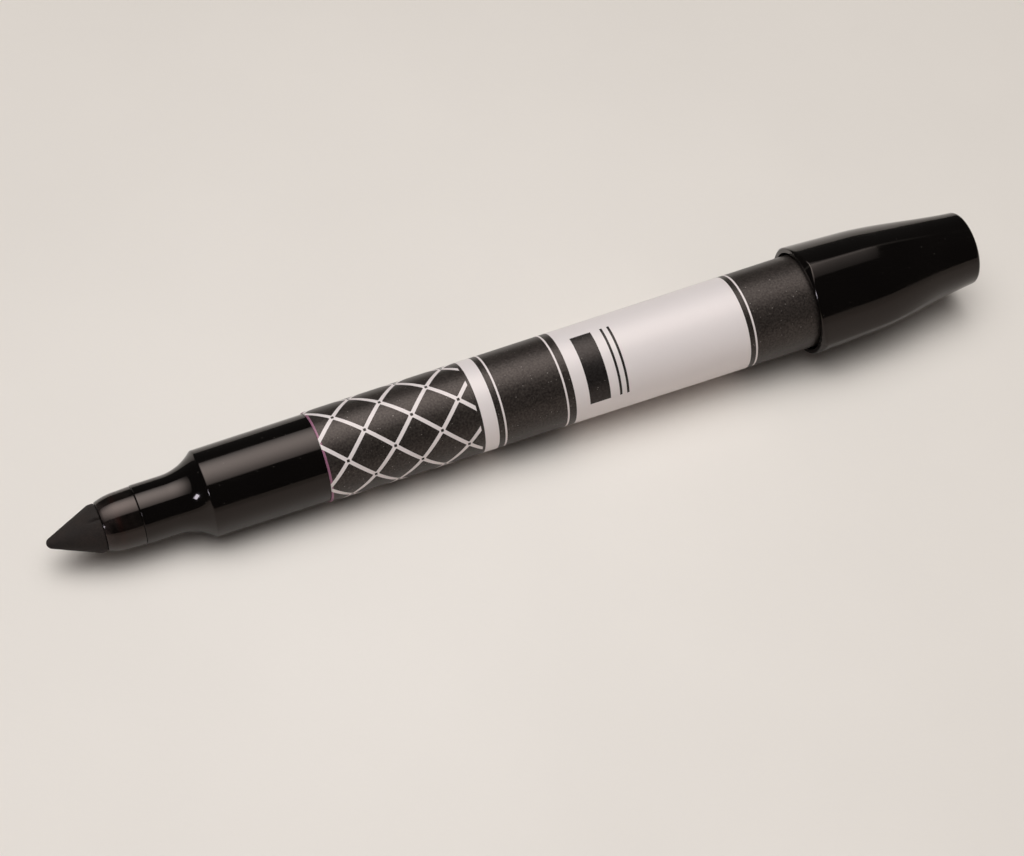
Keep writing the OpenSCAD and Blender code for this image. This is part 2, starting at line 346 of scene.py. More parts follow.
softbox_mid = (sum(SOFTBOX_X) / 2, sum(SOFTBOX_Y) / 2)
softbox_size = (SOFTBOX_X[1] - SOFTBOX_X[0], SOFTBOX_Y[1] - SOFTBOX_Y[0])
softbox = add_lamp("softbox", (*softbox_mid, SOFTBOX_HEIGHT), (*softbox_mid, 0), softbox_size,
                   SOFTBOX_RADIANCE, LAMP_WHITE)
heat_middle(softbox.data, softbox_size, SOFTBOX_GLOW)
softbox.visible_diffuse = False
print("softbox", softbox_size, "mm wide and deep,", SOFTBOX_HEIGHT, "mm up")

# %% Hang the overhead lamp and the glint lamp
# A narrow spread keeps a lamp's power, so straight down it shines more than its mean radiance.
OVERHEAD_MID = (0, 0)
OVERHEAD_HEIGHT = 560
OVERHEAD_SIZE = (3600, 3600)
OVERHEAD_SPREAD = math.radians(80)
OVERHEAD_RADIANCE = 0.86
GLINT_DISTANCE = 900
GLINT_TOWARDS = (-0.744, -0.43, 0.516)
GLINT_AIM = (-60, 0, 10)
GLINT_SIZE = (190, 130)
GLINT_RADIANCE = 26
GLINT_COLOUR = "#e3ebff"

overhead = add_lamp("overhead_lamp", (*OVERHEAD_MID, OVERHEAD_HEIGHT), (*OVERHEAD_MID, 0),
                    OVERHEAD_SIZE, OVERHEAD_RADIANCE, LAMP_WHITE)
overhead.data.spread = OVERHEAD_SPREAD
overhead.visible_glossy = False
glint_place = Vector(GLINT_AIM) + GLINT_DISTANCE * Vector(GLINT_TOWARDS).normalized()
glint_lamp = add_lamp("glint_lamp", glint_place, GLINT_AIM, GLINT_SIZE, GLINT_RADIANCE, GLINT_COLOUR)
glint_lamp.visible_diffuse = False
print("overhead lamp", OVERHEAD_HEIGHT, "mm up, glint lamp at", [round(c) for c in glint_place])

# %% [markdown]
# ## Room
# The room is dark in the gloss, as the photographed plastic shows, with a weak fill for the matt
# surfaces and a pale background behind the paper. One plain background could not be all three, so
# the world tells the kinds of rays apart. There is no metal or glass here that would need a pale
# room to reflect.

# %% Set up the room
FILL_RADIANCE = 0.1
ROOM_RADIANCE = 0.065
BACKGROUND = "#d2ccc5"

world = bpy.data.worlds.new("studio_room")
bpy.context.scene.world = world
world.use_nodes = True
room = world.node_tree
room.nodes.clear()
ray = add(room, "ShaderNodeLightPath").node.outputs
fill = add(room, "ShaderNodeBackground", {"Strength": FILL_RADIANCE, "Color": linear("#fff0e8")})
dark = add(room, "ShaderNodeBackground", {"Strength": ROOM_RADIANCE, "Color": linear("#fff8f0")})
pale = add(room, "ShaderNodeBackground", {"Strength": 1.0, "Color": linear(BACKGROUND)})
lit = add(room, "ShaderNodeMixShader", {0: ray["Is Glossy Ray"], 1: fill, 2: dark})
seen = add(room, "ShaderNodeMixShader", {0: ray["Is Camera Ray"], 1: lit, 2: pale})
add(room, "ShaderNodeOutputWorld", {"Surface": seen})
print("room radiance", ROOM_RADIANCE, "in the gloss and", FILL_RADIANCE, "on matt surfaces")

# %% [markdown]
# ## Skins from rings
# Every visible piece is a stack of rings about one axis. A screw or spin modifier would do for the
# round ones, but not for the cap, whose rings change from a soft square to a circle. So one
# function joins rings into a closed mesh, and a ring's radius may be a number or a function of the
# angle. Angles run from the top towards the camera.

# %% Helpers for ring-built pieces
SHARP_EDGE = math.radians(38)


def skin(name, rings, sides, looped):
    """A closed mesh through rings of (place, radius). Looped joins the last ring to the first."""
    form = bmesh.new()
    loops = []
    for place, radius in rings:
        if radius == 0:
            loops.append([form.verts.new((TIP_X + place * MM, 0, AXIS_Z))] * sides)
            continue
        loop = []
        for i in range(sides):
            angle = 2 * math.pi * i / sides
            reach = (radius(angle) if callable(radius) else radius) * MM
            spot = (TIP_X + place * MM, -reach * math.sin(angle), AXIS_Z + reach * math.cos(angle))
            loop.append(form.verts.new(spot))
        loops.append(loop)
    pairs = list(zip(loops, loops[1:] + loops[:1])) if looped else list(zip(loops, loops[1:]))
    for first, second in pairs:
        for i in range(sides):
            j = (i + 1) % sides
            form.faces.new(dict.fromkeys((first[i], first[j], second[j], second[i])))
    bmesh.ops.recalc_face_normals(form, faces=form.faces)
    mesh = bpy.data.meshes.new(name)
    form.to_mesh(mesh)
    form.free()
    mesh.shade_smooth()
    mesh.set_sharp_from_angle(angle=SHARP_EDGE)
    made = bpy.data.objects.new(name, mesh)
    bpy.context.scene.collection.objects.link(made)
    print(name, len(mesh.vertices), "points,", len(mesh.polygons), "faces")
    return made


def arc(centre_place, centre_radius, radius, start, end, steps):
    """Points (place, radius) on an arc; 0 degrees points away from the axis and 90 to the cap."""
    angles = [math.radians(start + (end - start) * i / steps) for i in range(steps + 1)]
    return [(centre_place + radius * math.sin(a), centre_radius + radius * math.cos(a)) for a in angles]


def straight(start, end, steps):
    """Points (place, radius) between two ends, without either of them."""
    return [tuple(a + (b - a) * i / steps for a, b in zip(start, end)) for i in range(1, steps)]


def stand_for(piece, node, material):
    """Puts a finer piece in a CAD node's place: it gets the material, rides on the node's body, and the
    node is hidden.
    """
    piece.data.materials.append(material)
    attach(piece, frame["nodes"][node]["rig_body"])
    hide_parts(node)
    print(piece.name, "stands for", node, "and is", material.name)


print("edges show sharp from", round(math.degrees(SHARP_EDGE)), "degrees")

# %% [markdown]
# ## Nib
# The nib is a rod of pressed polyester felt, ground to a cone and soaked with black ink. Its tip is
# worn round, a soft shoulder leads to a short straight band, and the ground surface is pitted by
# cut fibres. It could be sculpted, but noise in the rings' radius gives the same pits at every run.
# They are real dents in the mesh, because they break up the outline; the finest fibres are left to
# the finish. A crease at the shoulder shows as a dark fold.

# %% Model the nib
NIB_TIP_R = 1.0
NIB_SHOULDER_R = 1.0
NIB_BAND_LEN = 0.8
NIB_HEEL_SOFT = 0.18
NIB_END = 9.2
NIB_STEM_R = 2.6
NIB_STEPS = {"tip": 12, "cone": 46, "shoulder": 10, "band": 8, "heel": 5}
FELT_PIT_MM = 0.045
FELT_PIT_SIZE_MM = 0.45
# Fall-off, step in scale and number of layers of the noise.
FELT_NOISE = (1.0, 2.0, 3)
FELT_SIDES = 220
CREASE_PLACE = 8.5
CREASE_ANGLE = math.radians(18)
CREASE_HALF_LEN = 1.2
CREASE_HALF_WIDTH = 0.3
CREASE_DEPTH = 0.4


def felt_radius(place, radius):
    """A ring of the ground felt: pitted by fibres, with one crease at the shoulder."""
    def reach(angle):
        across = radius * math.sin(angle - CREASE_ANGLE)
        spot = Vector((place, radius * math.sin(angle), radius * math.cos(angle))) / FELT_PIT_SIZE_MM
        pit = FELT_PIT_MM * (0.5 + 0.5 * noise.fractal(spot, *FELT_NOISE))
        crease = ((place - CREASE_PLACE) / CREASE_HALF_LEN) ** 2 + (across / CREASE_HALF_WIDTH) ** 2
        facing = math.cos(angle - CREASE_ANGLE) > 0
        return radius - max(0.0, pit) - (CREASE_DEPTH * math.exp(-crease) if facing else 0)
    return reach


def make_nib():
    nib_r = radius_of("nib")
    rise = nib_r - NIB_SHOULDER_R
    run = NIB_END - NIB_BAND_LEN - NIB_TIP_R
    turn_in = math.asin((NIB_TIP_R - NIB_SHOULDER_R) / math.hypot(rise, run))
    lean = math.degrees(math.atan2(rise, run) - turn_in)
    tip = arc(NIB_TIP_R, 0, NIB_TIP_R, -90, -lean, NIB_STEPS["tip"])
    shoulder = arc(NIB_END - NIB_BAND_LEN, nib_r - NIB_SHOULDER_R, NIB_SHOULDER_R, -lean, 0,
                   NIB_STEPS["shoulder"])
    heel = arc(NIB_END - NIB_HEEL_SOFT, nib_r - NIB_HEEL_SOFT, NIB_HEEL_SOFT, 0, 90, NIB_STEPS["heel"])
    band = straight(shoulder[-1], heel[0], NIB_STEPS["band"]) + heel
    cone = straight(tip[-1], shoulder[0], NIB_STEPS["cone"])
    ground = [(place, felt_radius(place, radius)) for place, radius in tip[1:] + cone + shoulder + band]
    stem_end = span_of("nib")[1]
    stem = [(NIB_END, NIB_STEM_R), (stem_end, NIB_STEM_R), (stem_end, 0)]
    return skin("nib_felt", [(0, 0)] + ground + stem, FELT_SIDES, looped=False)


nib = make_nib()

# %% [markdown]
# ## Ink-soaked felt
# Ink has turned the felt black, but the cut ends of its fibres stay a little paler, and wet patches
# are darker. The fibres could be real hairs, which would be slow and too fine to see from here. A
# noise stretched along the nib gives the same broken black.

# %% Finish the nib
# Polyester felt, pressed and ground, soaked with black ink: a dead matt warm black that is never
# quite even. Its real fibres are about 0.02 mm thick, and are drawn coarse enough to show.
FIBRE_MM = 0.16
FIBRE_DEPTH_MM = 0.06
FIBRE_STRETCH = 0.35
WET_PATCH_MM = 2.6


def inked_felt():
    material, tree, spot = new_material("polyester_felt_ground_and_inked")
    along = add(tree, "ShaderNodeMapping", {"Vector": spot, "Scale": (FIBRE_STRETCH, 1.0, 1.0)})
    fibres = add(tree, "ShaderNodeTexNoise",
                 {"Vector": along, "Scale": per_metre(FIBRE_MM), "Detail": 3.0})
    wet = add(tree, "ShaderNodeTexNoise",
              {"Vector": spot, "Scale": per_metre(WET_PATCH_MM), "Detail": 2.0})
    fibre_colour = add(tree, "ShaderNodeMix",
                       {"Factor": fibres, "A": linear("#120e0c"), "B": linear("#2d2420")},
                       data_type="RGBA")
    shade = add(tree, "ShaderNodeMapRange",
                {"Value": wet, "From Min": 0.35, "From Max": 0.65, "To Min": 0.75, "To Max": 1.15})
    colour = add(tree, "ShaderNodeMix", {"Factor": 1.0, "A": fibre_colour, "B": shade},
                 data_type="RGBA", blend_type="MULTIPLY")
    rough = add(tree, "ShaderNodeMapRange", {"Value": wet, "To Min": 0.75, "To Max": 1.0})
    bump = add(tree, "ShaderNodeBump",
               {"Height": fibres, "Strength": 0.5, "Distance": FIBRE_DEPTH_MM * MM})
    shader = add(tree, "ShaderNodeBsdfPrincipled",
                 {"Base Color": colour, "Roughness": rough, "Normal": bump,
                  "Specular IOR Level": 0.25, "Sheen Weight": 0.03})
    add(tree, "ShaderNodeOutputMaterial", {"Surface": shader})
    return material


stand_for(nib, "nib", inked_felt())

# %% [markdown]
# ## Collar
# A clear smoke collar holds the felt in the neck. Its front curves in to the felt, a fine seam
# parts it from the barrel, and four air grooves run beside the stem inside. Booleans could cut the
# grooves. Here the hole is a ring whose radius steps out at each groove, which needs no cutting.

# %% Model the collar
COLLAR_FRONT_R = 4.22
COLLAR_MID_R = 4.9
COLLAR_ROUND_LEN = 3.8
COLLAR_LIP_R = 0.12
COLLAR_LIP_END_DEGREES = -20
NECK_PLACE = 15.65
SEAM_MM = 0.17
PLUG_R = 3.98
PLUG_CHAMFER = 0.5
STEM_HOLE_R = 2.62
GROOVE_COUNT = 4
GROOVE_WIDTH = 0.7
GROOVE_REACH = 3.3
ROUND_SIDES = 240
EDGE_STEPS = 6
# The lip takes the place of the first steps of the collar's nose.
NOSE_STEPS = 20
NOSE_FIRST_STEP = 2


def grooved_hole(angle):
    """Radius of the stem's hole, with its air grooves."""
    pitch = 2 * math.pi / GROOVE_COUNT
    off_groove = abs((angle + pitch / 2) % pitch - pitch / 2)
    return GROOVE_REACH if off_groove * STEM_HOLE_R < GROOVE_WIDTH / 2 else STEM_HOLE_R


def make_collar():
    front, rear = span_of("nib_collar")
    outer_r = radius_of("nib_collar")
    lip = arc(front + COLLAR_LIP_R, COLLAR_FRONT_R - COLLAR_LIP_R, COLLAR_LIP_R,
              -90, COLLAR_LIP_END_DEGREES, EDGE_STEPS)
    shares = [i / NOSE_STEPS for i in range(NOSE_FIRST_STEP, NOSE_STEPS + 1)]
    widening = COLLAR_MID_R - COLLAR_FRONT_R
    nose = [(front + COLLAR_ROUND_LEN * s, COLLAR_FRONT_R + widening * s * (2 - s)) for s in shares]
    seam = arc(NECK_PLACE - SEAM_MM, outer_r - SEAM_MM, SEAM_MM, 0, 90, EDGE_STEPS)
    plug = [(NECK_PLACE, PLUG_R), (rear - PLUG_CHAMFER, PLUG_R), (rear, PLUG_R - PLUG_CHAMFER)]
    hole = [(rear, grooved_hole), (front, grooved_hole)]
    return skin("collar_clear", lip + nose + seam + plug + hole, ROUND_SIDES, looped=True)


collar = make_collar()

# %% [markdown]
# ## Smoke-clear plastic
# The real collar is see-through, but the dark felt behind its wall swallows nearly all light. True
# transmission would be slow and grainy for so small a window, so the depth is painted on an opaque
# gloss: a ramp along the collar turns redder where light gets in behind the wall, and a soft noise
# stands for the felt that is seen through it.

# %% Finish the collar
# Polystyrene, injection moulded, smoke clear: a wet-looking gloss over a warm near-black, redder
# where the wall is thin and light gets in behind it.
COLLAR_BLOOM_MM = 1.7


def smoke_polystyrene():
    material, tree, spot = new_material("polystyrene_moulded_smoke_clear")
    along = add(tree, "ShaderNodeSeparateXYZ", {0: spot})
    depth = add(tree, "ShaderNodeMapRange",
                {"Value": along, "From Min": TIP_X + NIB_END * MM, "From Max": TIP_X + NECK_PLACE * MM})
    tint = add(tree, "ShaderNodeValToRGB", {"Fac": depth})
    ramp = tint.node.color_ramp
    ramp.elements[0].color = linear("#1f1a19")
    ramp.elements[1].color = linear("#0c0b0a")
    for share, colour in ((0.3, "#161211"), (0.42, "#190d0b"), (0.52, "#0e0a09")):
        ramp.elements.new(share).color = linear(colour)
    bloom = add(tree, "ShaderNodeTexNoise",
                {"Vector": spot, "Scale": per_metre(COLLAR_BLOOM_MM), "Detail": 2.0})
    shade = add(tree, "ShaderNodeMapRange",
                {"Value": bloom, "From Min": 0.3, "From Max": 0.7, "To Min": 0.25, "To Max": 1.6})
    colour = add(tree, "ShaderNodeMix", {"Factor": 1.0, "A": tint, "B": shade},
                 data_type="RGBA", blend_type="MULTIPLY")
    rough = add(tree, "ShaderNodeMapRange", {"Value": bloom, "To Min": 0.05, "To Max": 0.14})
    shader = add(tree, "ShaderNodeBsdfPrincipled",
                 {"Base Color": colour, "Roughness": rough, "IOR": 1.43,
                  "Specular Tint": linear("#ffe8e0")})
    add(tree, "ShaderNodeOutputMaterial", {"Surface": shader})
    return material


stand_for(collar, "nib_collar", smoke_polystyrene())

# %% [markdown]
# ## Barrel
# The barrel is one black moulding: a short neck that the cap seals on, a hollow curve up to a crisp
# shoulder, and a tube that widens by a hair towards its tail. A bevel modifier could round the
# shoulder. Here the hollow curve and the shoulder's edge are arcs that meet on one tangent, so the
# reflections run over the shoulder without a break.

# %% Model the barrel
NECK_R = 5.1
NECK_END = 20.9
SHOULDER_EDGE_R = 0.6
BORE_R = 6.4
NECK_BORE_R = 4.0
BORE_CONE = (24.7, 28.7)
EDGE_SOFT_MM = 0.15
HOLLOW_STEPS = 28
SHOULDER_STEPS = 12
TUBE_STEPS = 24


def make_barrel():
    front, rear = span_of("barrel")
    tail_r = radius_of("barrel")
    curve_len = SHOULDER_PLACE - NECK_END
    swing = 2 * math.atan2(SHOULDER_RADIUS - NECK_R, curve_len)
    hollow_r = curve_len / math.sin(swing) - SHOULDER_EDGE_R
    turns = [swing * i / HOLLOW_STEPS for i in range(HOLLOW_STEPS + 1)]
    hollow = [(NECK_END + hollow_r * math.sin(a), NECK_R + hollow_r * (1 - math.cos(a))) for a in turns]
    edge = arc(SHOULDER_PLACE, SHOULDER_RADIUS - SHOULDER_EDGE_R, SHOULDER_EDGE_R,
               -math.degrees(swing), 0, SHOULDER_STEPS)
    tube = straight(edge[-1], (rear, tail_r), TUBE_STEPS)
    tail = [(rear - EDGE_SOFT_MM, tail_r), (rear, tail_r - EDGE_SOFT_MM)]
    neck = arc(front + SEAM_MM, NECK_R - SEAM_MM, SEAM_MM, -90, 0, EDGE_STEPS)
    bore = [(rear, BORE_R), (BORE_CONE[1], BORE_R), (BORE_CONE[0], NECK_BORE_R), (front, NECK_BORE_R)]
    rings = neck + hollow + edge[1:] + tube + tail + bore
    return skin("barrel_moulding", rings, ROUND_SIDES, looped=True)


barrel = make_barrel()

# %% [markdown]
# ## Moulded black plastic
# Pigment makes the plastic almost perfectly black, so the eye reads its gloss and not its colour. A
# clear coat over black could give that too, but a moulding has no coat: its own surface shines. So
# one gloss layer is dulled in patches by rub marks, and a weak bump gives the ripple that cooling
# leaves. The cap and the tail plug use the same function with other values.

# %% Finish the barrel
# Polypropylene, injection moulded in a polished tool, black: deep gloss with a faint orange peel
# that ripples the reflections, rub marks that dull it in patches, and a few grains of dust. Real
# rub marks are hair-fine, and are drawn coarse enough to show.
RUB_PATCH_MM = 9
RUB_LINE_MM = 0.25
RUB_STRETCH = 0.05
PEEL_DEPTH_MM = 0.02
DUST_SPACING_MM = 1.6
DUST_SHARE = 0.04


def moulded_polypropylene(name, peel_mm, peel_strength, gloss, ior=1.4, wear_and_highlight=None):
    """Black moulded plastic; gloss is the roughness where it is cleanest and where it is rubbed, and
    the last argument adds a mask of edges painted grey, as rubbed wear and a painted highlight."""
    material, tree, spot = new_material(name)
    patches = add(tree, "ShaderNodeTexNoise",
                  {"Vector": spot, "Scale": per_metre(RUB_PATCH_MM), "Detail": 4.0})
    lengthwise = add(tree, "ShaderNodeMapping", {"Vector": spot, "Scale": (RUB_STRETCH, 1.0, 1.0)})
    lines = add(tree, "ShaderNodeTexNoise",
                {"Vector": lengthwise, "Scale": per_metre(RUB_LINE_MM), "Detail": 2.0})
    rub = add(tree, "ShaderNodeMath", {0: patches, 1: lines}, operation="MULTIPLY")
    rough = add(tree, "ShaderNodeMapRange",
                {"Value": rub, "From Min": 0.15, "From Max": 0.4,
                 "To Min": gloss[0], "To Max": gloss[1]})
    grains = add(tree, "ShaderNodeTexVoronoi", {"Vector": spot, "Scale": per_metre(DUST_SPACING_MM)})
    grain = add(tree, "ShaderNodeMath", {0: grains, 1: DUST_SHARE}, operation="LESS_THAN")
    black = add(tree, "ShaderNodeMix",
                {"Factor": patches, "A": linear("#030303"), "B": linear("#070606")}, data_type="RGBA")
    dusty = add(tree, "ShaderNodeMix",
                {"Factor": grain, "A": black, "B": linear("#4a4643")}, data_type="RGBA")
    # Grey on the cap's ridges: rubbed wear, and a painted highlight where the ridges catch the light.
    worn_and_highlighted = wear_and_highlight(tree, spot) if wear_and_highlight else 0.0
    colour = add(tree, "ShaderNodeMix",
                 {"Factor": worn_and_highlighted, "A": dusty, "B": linear("#211f1d")}, data_type="RGBA")
    peel = add(tree, "ShaderNodeTexNoise",
               {"Vector": spot, "Scale": per_metre(peel_mm), "Detail": 1.0})
    bump = add(tree, "ShaderNodeBump",
               {"Height": peel, "Strength": peel_strength, "Distance": PEEL_DEPTH_MM * MM})
    shader = add(tree, "ShaderNodeBsdfPrincipled",
                 {"Base Color": colour, "Roughness": rough, "Normal": bump, "IOR": ior,
                  "Specular Tint": linear("#ffece4")})
    add(tree, "ShaderNodeOutputMaterial", {"Surface": shader})
    return material


barrel_black = moulded_polypropylene("polypropylene_moulded_black_barrel", peel_mm=2.4,
                                     peel_strength=0.2, gloss=(0.05, 0.14))
stand_for(barrel, "barrel", barrel_black)

# %% [markdown]
# ## Label
# A printed film is wrapped round the barrel and ends inside the cap. Its front third carries a net
# of white lines on charcoal, six diamonds round; behind it come plain bands of white and charcoal
# with a few ruled lines, and a black bar that shows the colour of the ink. The print could lie
# straight on the barrel. The film is its own thin sleeve, so that its front edge catches the light.

# %% Model the label
FILM_MM = 0.22
FILM_EDGE_SOFT_MM = FILM_MM / 3
FILM_STEPS = 40


def make_label():
    front, rear = span_of("label")
    rear_r = radius_of("label")
    soft = FILM_EDGE_SOFT_MM
    widening = (radius_of("barrel") - SHOULDER_RADIUS) / (span_of("barrel")[1] - SHOULDER_PLACE)
    front_r = rear_r - widening * (rear - front)
    front_edge = [(front, front_r - soft), (front + soft, front_r)]
    rear_edge = [(rear - soft, rear_r), (rear, rear_r - soft)]
    face = front_edge + straight(front_edge[1], rear_edge[0], FILM_STEPS) + rear_edge
    inside = [(rear, rear_r - FILM_MM), (front, front_r - FILM_MM)]
    return skin("label_film", face + inside, ROUND_SIDES, looped=True)


label = make_label()

# %% [markdown]
# ## Print
# The print is drawn from two coordinates: the place along the marker, and the turn about its axis.
# A picture wrapped round the film would do too, but drawn lines stay sharp in a close view. A line
# family of the net is where a slanted coordinate passes a whole number; two families, slanted both
# ways, make the net, and their smooth minimum rounds the corners of the diamonds as printed ink
# does. Bands come from one colour ramp with hard steps.

# %% Draw the net
# Widths of the net's lines, corners and dots are shares of its pitch.
NET_ROUND = 6
NET_PITCH_MM = 8.348
NET_CROSSING_PLACE = 54.70
NET_CROSSING_TURN = math.radians(23.4)
NET_END = 73.8
NET_LINE = 0.056
NET_CORNER = 0.05
NET_DOT = 0.058
HALF_PITCH = 0.5


def axis_coordinates(tree, spot):
    """Place along the marker, and turn about its axis in radians, from the top to the camera."""
    x, y, z = add(tree, "ShaderNodeSeparateXYZ", {0: spot}).node.outputs
    place = add(tree, "ShaderNodeMath", {0: x, 1: 1 / MM, 2: -TIP_X / MM}, operation="MULTIPLY_ADD")
    aside = add(tree, "ShaderNodeMath", {0: y, 1: -1.0}, operation="MULTIPLY")
    above = add(tree, "ShaderNodeMath", {0: z, 1: AXIS_Z}, operation="SUBTRACT")
    turn = add(tree, "ShaderNodeMath", {0: aside, 1: above}, operation="ARCTAN2")
    return place, turn


def net_mask(tree, place, turn):
    """1 on the white lines of the net, 0 on its diamonds and on the small dots where lines cross."""
    round_share = NET_ROUND / (2 * math.pi)
    across = add(tree, "ShaderNodeMath",
                 {0: turn, 1: round_share, 2: -round_share * NET_CROSSING_TURN},
                 operation="MULTIPLY_ADD")
    along = add(tree, "ShaderNodeMath",
                {0: place, 1: 1 / NET_PITCH_MM, 2: -NET_CROSSING_PLACE / NET_PITCH_MM},
                operation="MULTIPLY_ADD")
    off_line = []
    for slant in ("ADD", "SUBTRACT"):
        family = add(tree, "ShaderNodeMath", {0: across, 1: along}, operation=slant)
        off_line.append(add(tree, "ShaderNodeMath", {0: family, 1: HALF_PITCH}, operation="PINGPONG"))
    merged = add(tree, "ShaderNodeMath", {0: off_line[0], 1: off_line[1], 2: NET_CORNER},
                 operation="SMOOTH_MIN")
    line = add(tree, "ShaderNodeMath", {0: merged, 1: NET_LINE}, operation="LESS_THAN")
    off_dot = add(tree, "ShaderNodeMath", {0: off_line[0], 1: off_line[1]}, operation="ADD")
    beside_dot = add(tree, "ShaderNodeMath", {0: off_dot, 1: NET_DOT}, operation="GREATER_THAN")
    before_end = add(tree, "ShaderNodeMath", {0: place, 1: NET_END}, operation="LESS_THAN")
    dotted = add(tree, "ShaderNodeMath", {0: line, 1: beside_dot}, operation="MULTIPLY")
    return add(tree, "ShaderNodeMath", {0: dotted, 1: before_end}, operation="MULTIPLY")


print("net of", NET_ROUND, "diamonds round,", NET_PITCH_MM, "mm apart")

# %% Draw the bands, the rules and the bar
CUT_EDGE = "#8e6078"
CHARCOAL = "#292523"
BAND_WHITE = "#e1dada"
PRINT_WHITE = "#ded6d6"
BAR_BLACK = "#1c1a1a"
# Where each band starts, and its ink.
BANDS = ((46.8, CUT_EDGE), (46.87, CHARCOAL), (74.09, BAND_WHITE), (76.84, CHARCOAL),
         (90.75, BAND_WHITE), (123.29, CHARCOAL))
# Middle and half width of each ruled ring; the first black one is the bar.
RULED_WHITE = ((78.1, 0.17), (89.5, 0.17), (124.7, 0.17))
RULED_BLACK = ((95.4, 1.9), (99.2, 0.22), (100.5, 0.22))
BAR_TURN = math.radians(37)
RULED_HALF_TURN = math.radians(46)


def ruled_mask(tree, place, ruled):
    """1 on rings of (place, half width)."""
    mask = 0.0
    for middle, half_width in ruled:
        ring = add(tree, "ShaderNodeMath", {0: place, 1: middle, 2: half_width}, operation="COMPARE")
        mask = add(tree, "ShaderNodeMath", {0: ring, 1: mask}, operation="MAXIMUM")
    return mask


def printed_colour(tree, place, turn):
    """The inks: bands, the net and white rules over them, and the black bar and rules on one side."""
    front, rear = BANDS[0][0], span_of("label")[1]
    share = add(tree, "ShaderNodeMapRange", {"Value": place, "From Min": front, "From Max": rear})
    bands = add(tree, "ShaderNodeValToRGB", {"Fac": share})
    ramp = bands.node.color_ramp
    ramp.interpolation = "CONSTANT"
    ramp.elements.remove(ramp.elements[1])
    ramp.elements[0].color = linear(BANDS[0][1])
    for start, colour in BANDS[1:]:
        ramp.elements.new((start - front) / (rear - front)).color = linear(colour)
    rings = ruled_mask(tree, place, RULED_WHITE)
    white = add(tree, "ShaderNodeMath", {0: net_mask(tree, place, turn), 1: rings}, operation="MAXIMUM")
    with_net = add(tree, "ShaderNodeMix",
                   {"Factor": white, "A": bands, "B": linear(PRINT_WHITE)}, data_type="RGBA")
    near_bar = add(tree, "ShaderNodeMath", {0: turn, 1: BAR_TURN, 2: RULED_HALF_TURN},
                   operation="COMPARE")
    black = add(tree, "ShaderNodeMath", {0: near_bar, 1: ruled_mask(tree, place, RULED_BLACK)},
                operation="MULTIPLY")
    return add(tree, "ShaderNodeMix",
               {"Factor": black, "A": with_net, "B": linear(BAR_BLACK)}, data_type="RGBA")


print(len(BANDS), "bands,", len(RULED_WHITE) + len(RULED_BLACK), "ruled rings")

# %% [markdown]
# ## Varnished film
# A satin varnish covers the print. It could be a clear coat over matt ink, with two layers to
# match, but one satin layer with a fine grain gives the same broad glow. Dark ink is mottled and
# shows dust where white ink hides both, so the mottle is masked to the dark ink, and the dust may
# only lighten.

# %% Finish the label
# Polyester film, printed and satin varnished: the varnish spreads the softbox into a broad, faintly
# grainy glow, the charcoal ink is mottled, and dust shows on the dark bands. The real grain of the
# ink and the varnish is about 0.1 mm, and is drawn coarse enough to show.
INK_MOTTLE_MM = 0.35
VARNISH_GRAIN_DEPTH_MM = 0.012
FILM_RIPPLE_MM = 3.5
FILM_RIPPLE_DEPTH_MM = 0.03
LABEL_DUST_MM = 0.6
LABEL_DUST_SHARE = 0.17
DARK_INK_BELOW = 0.1


def varnished_film():
    material, tree, spot = new_material("polyester_film_printed_satin_varnish")
    printed = printed_colour(tree, *axis_coordinates(tree, spot))
    mottle = add(tree, "ShaderNodeTexNoise",
                 {"Vector": spot, "Scale": per_metre(INK_MOTTLE_MM), "Detail": 3.0})
    shade = add(tree, "ShaderNodeMapRange",
                {"Value": mottle, "From Min": 0.3, "From Max": 0.7, "To Min": 0.35, "To Max": 1.8})
    dark_ink = add(tree, "ShaderNodeMath", {0: printed, 1: DARK_INK_BELOW}, operation="LESS_THAN")
    inked = add(tree, "ShaderNodeMix", {"Factor": dark_ink, "A": printed, "B": shade},
                data_type="RGBA", blend_type="MULTIPLY")
    grains = add(tree, "ShaderNodeTexVoronoi", {"Vector": spot, "Scale": per_metre(LABEL_DUST_MM)})
    grain_size = add(tree, "ShaderNodeMapRange",
                     {"Value": grains.node.outputs["Color"], "From Min": 0.5, "From Max": 0.85,
                      "To Max": LABEL_DUST_SHARE})
    grain = add(tree, "ShaderNodeMath", {0: grains, 1: grain_size}, operation="LESS_THAN")
    dusty = add(tree, "ShaderNodeMix", {"Factor": grain, "A": inked, "B": linear("#6b6663")},
                data_type="RGBA", blend_type="LIGHTEN")

    ripple = add(tree, "ShaderNodeTexNoise",
                 {"Vector": spot, "Scale": per_metre(FILM_RIPPLE_MM), "Detail": 3.0})
    rippled = add(tree, "ShaderNodeBump",
                  {"Height": ripple, "Strength": 0.3, "Distance": FILM_RIPPLE_DEPTH_MM * MM})
    bump = add(tree, "ShaderNodeBump",
               {"Height": mottle, "Strength": 0.35, "Distance": VARNISH_GRAIN_DEPTH_MM * MM,
                "Normal": rippled})
    rough = add(tree, "ShaderNodeMapRange", {"Value": mottle, "To Min": 0.26, "To Max": 0.4})
    shader = add(tree, "ShaderNodeBsdfPrincipled",
                 {"Base Color": dusty, "Roughness": rough, "Normal": bump, "IOR": 1.5,
                  "Specular IOR Level": 0.33, "Specular Tint": linear("#ffece4")})
    add(tree, "ShaderNodeOutputMaterial", {"Surface": shader})
    return material


stand_for(label, "label", varnished_film())

# %% [markdown]
# ## Cap
# The cap is the piece that takes the most skill. At its mouth it is a soft square: four faces, each
# part of a wide circle, meet in four rounded ridges, and a turned chamfer scallops the rim. Along
# the cap the circles draw in until they share one centre, so the ridges sink away and the end is
# round. A cube under a subdivision modifier could come near it. Here one formula gives the radius
# at any angle and depth, and a small softening rounds the ridges as a real mould does.

